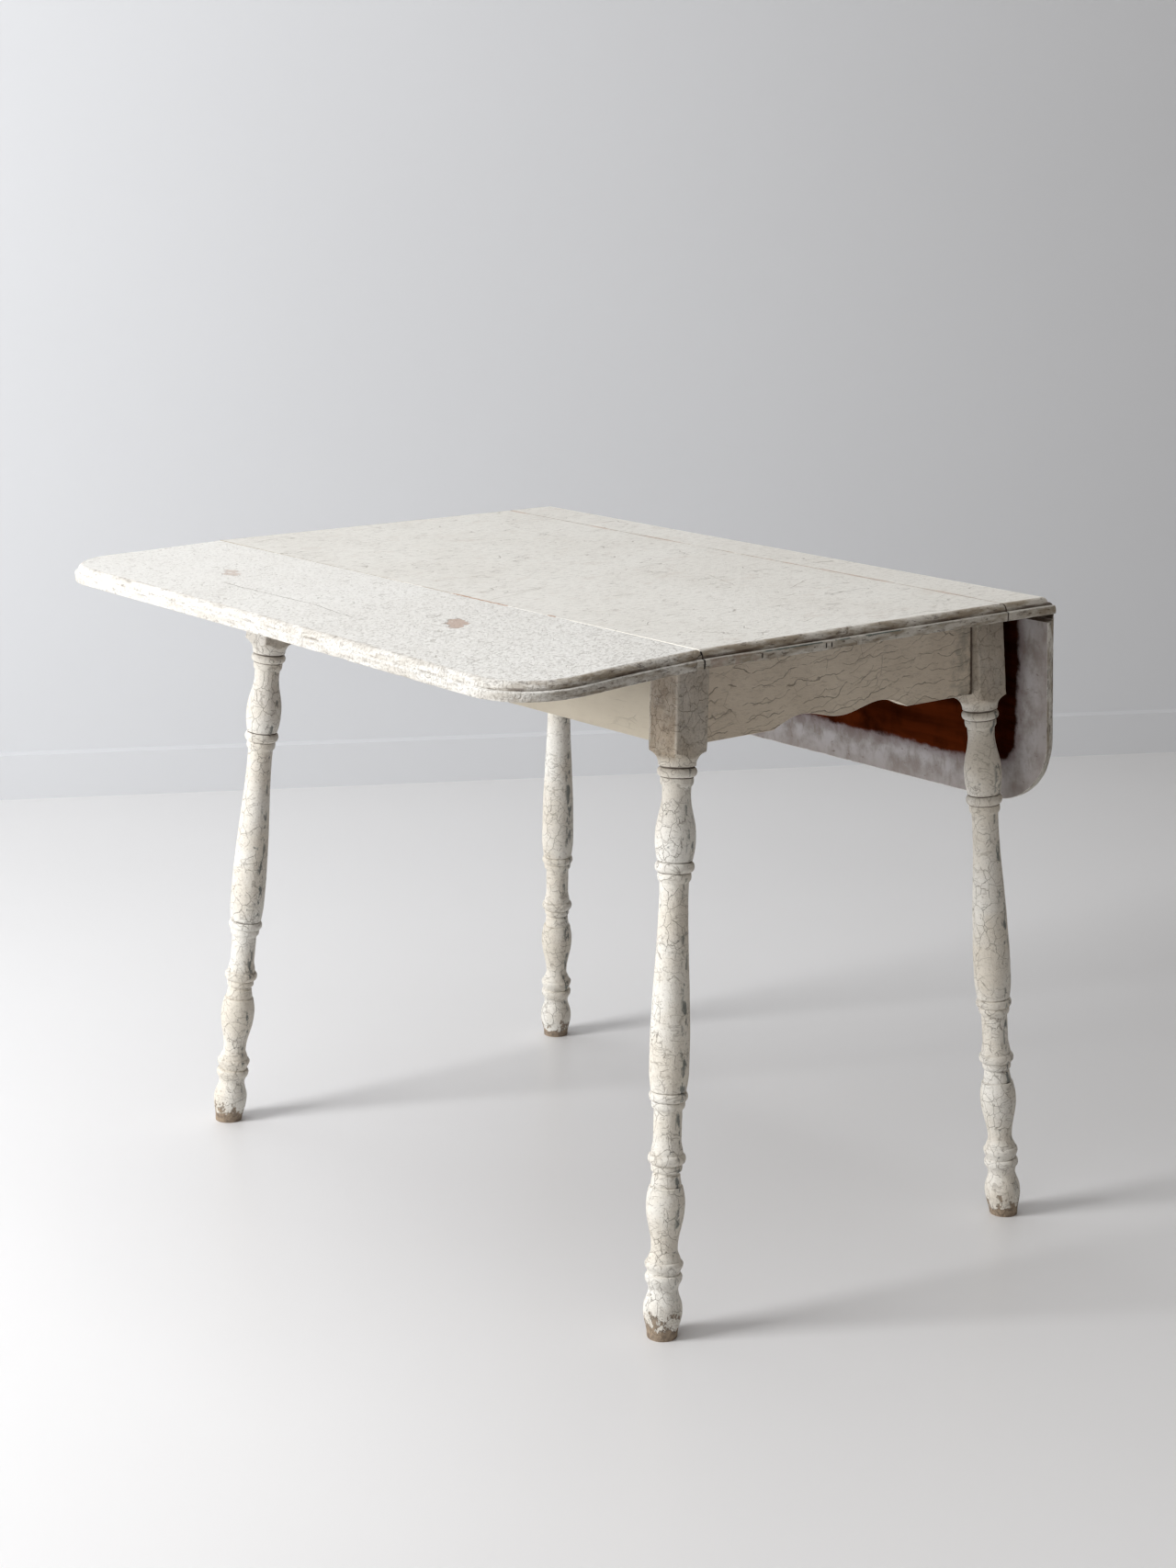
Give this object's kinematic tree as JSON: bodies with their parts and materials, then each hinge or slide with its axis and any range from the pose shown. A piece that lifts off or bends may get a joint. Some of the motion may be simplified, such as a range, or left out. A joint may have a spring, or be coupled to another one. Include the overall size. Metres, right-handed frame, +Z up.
{
  "type": "drop leaf table",
  "caption": "Antique painted drop-leaf table: moulded top on splayed turned legs, one round-cornered leaf raised on folding stays, the other hanging from its rule joint.",
  "frame": {"origin": "on the floor under the middle of the base", "axes": "+X across the hinge lines from the raised leaf to the hanging one, +Y along the hinges and the length of the top, +Z up"},
  "size_m": [0.811, 0.9, 0.762],
  "materials": {
    "top_paint": "old off-white paint, worn matt, fine cracks",
    "leaf_paint": "old off-white paint, short dense crackle, bare chips",
    "apron_paint": "old cream paint, long wavy cracks, grime in the corners",
    "leg_paint": "old cream paint, blocky crackle, grime under the rings",
    "bare_wood": "unpainted old pine, dark with age",
    "iron": "dull aged iron",
    "steel": "dull steel"
  },
  "bodies": {
    "frame": {"leg_near_left": "leg_paint", "leg_near_right": "leg_paint", "leg_far_left": "leg_paint", "leg_far_right": "leg_paint", "apron_near": "apron_paint", "apron_far": "apron_paint", "apron_left": "apron_paint", "apron_right": "apron_paint", "brace_near_left": "bare_wood", "brace_near_right": "bare_wood", "brace_far_left": "bare_wood", "brace_far_right": "bare_wood", "cross_batten": "bare_wood", "glue_blocks": "bare_wood", "top_board": "top_paint", "top_strip": "top_paint", "left_near_hinge_top_flap": "iron", "left_near_hinge_pin": "steel", "left_far_hinge_top_flap": "iron", "left_far_hinge_pin": "steel", "right_near_hinge_top_flap": "iron", "right_near_hinge_pin": "steel", "right_far_hinge_top_flap": "iron", "right_far_hinge_pin": "steel", "left_near_stay_apron_bracket": "iron", "left_far_stay_apron_bracket": "iron", "right_near_stay_apron_bracket": "iron", "right_far_stay_apron_bracket": "iron", "frame_screws": "steel"},
    "left_leaf": {"left_leaf_board": "leaf_paint", "left_leaf_screws": "steel", "left_near_hinge_leaf_flap": "iron", "left_far_hinge_leaf_flap": "iron", "left_near_stay_leaf_bracket": "iron", "left_far_stay_leaf_bracket": "iron"},
    "left_stay_lower": {"left_near_stay_lower_link": "iron", "left_far_stay_lower_link": "iron"},
    "left_stay_upper": {"left_near_stay_upper_link": "iron", "left_far_stay_upper_link": "iron"},
    "right_leaf": {"right_leaf_board": "leaf_paint", "right_leaf_screws": "steel", "right_near_hinge_leaf_flap": "iron", "right_far_hinge_leaf_flap": "iron", "right_near_stay_leaf_bracket": "iron", "right_far_stay_leaf_bracket": "iron"},
    "right_stay_lower": {"right_near_stay_lower_link": "iron", "right_far_stay_lower_link": "iron"},
    "right_stay_upper": {"right_near_stay_upper_link": "iron", "right_far_stay_upper_link": "iron"}
  },
  "joints": [
    {"name": "left_leaf_drop", "type": "hinge", "parent": "frame", "child": "left_leaf", "pos_m": [-0.27, 0, 0.746], "axis": [0, -1, 0], "range_deg": [0, 83.7]},
    {"name": "left_stay_lower_fold", "type": "hinge", "parent": "frame", "child": "left_stay_lower", "pos_m": [-0.2554, 0, 0.671], "axis": [0, 1, 0], "range_deg": [0, 46.73]},
    {"name": "left_stay_upper_fold", "type": "hinge", "parent": "left_leaf", "child": "left_stay_upper", "pos_m": [-0.34359, 0, 0.73302], "axis": [0, -1, 0], "range_deg": [0, 28.24]},
    {"name": "right_leaf_raise", "type": "hinge", "parent": "frame", "child": "right_leaf", "pos_m": [0.27, 0, 0.746], "axis": [0, -1, 0], "range_deg": [0, 83.7]},
    {"name": "right_stay_lower_fold", "type": "hinge", "parent": "frame", "child": "right_stay_lower", "pos_m": [0.2554, 0, 0.671], "axis": [0, 1, 0], "range_deg": [0, 46.73]},
    {"name": "right_stay_upper_fold", "type": "hinge", "parent": "right_leaf", "child": "right_stay_upper", "pos_m": [0.26518, 0, 0.67143], "axis": [0, -1, 0], "range_deg": [0, 28.24]}
  ],
  "couplings": [
    {"joint": "left_stay_lower_fold", "follows": "left_leaf_drop", "ratio": 0.55795},
    {"joint": "left_stay_upper_fold", "follows": "left_leaf_drop", "ratio": 0.33712},
    {"joint": "right_stay_lower_fold", "follows": "right_leaf_raise", "ratio": 0.55795},
    {"joint": "right_stay_upper_fold", "follows": "right_leaf_raise", "ratio": 0.33712}
  ]
}
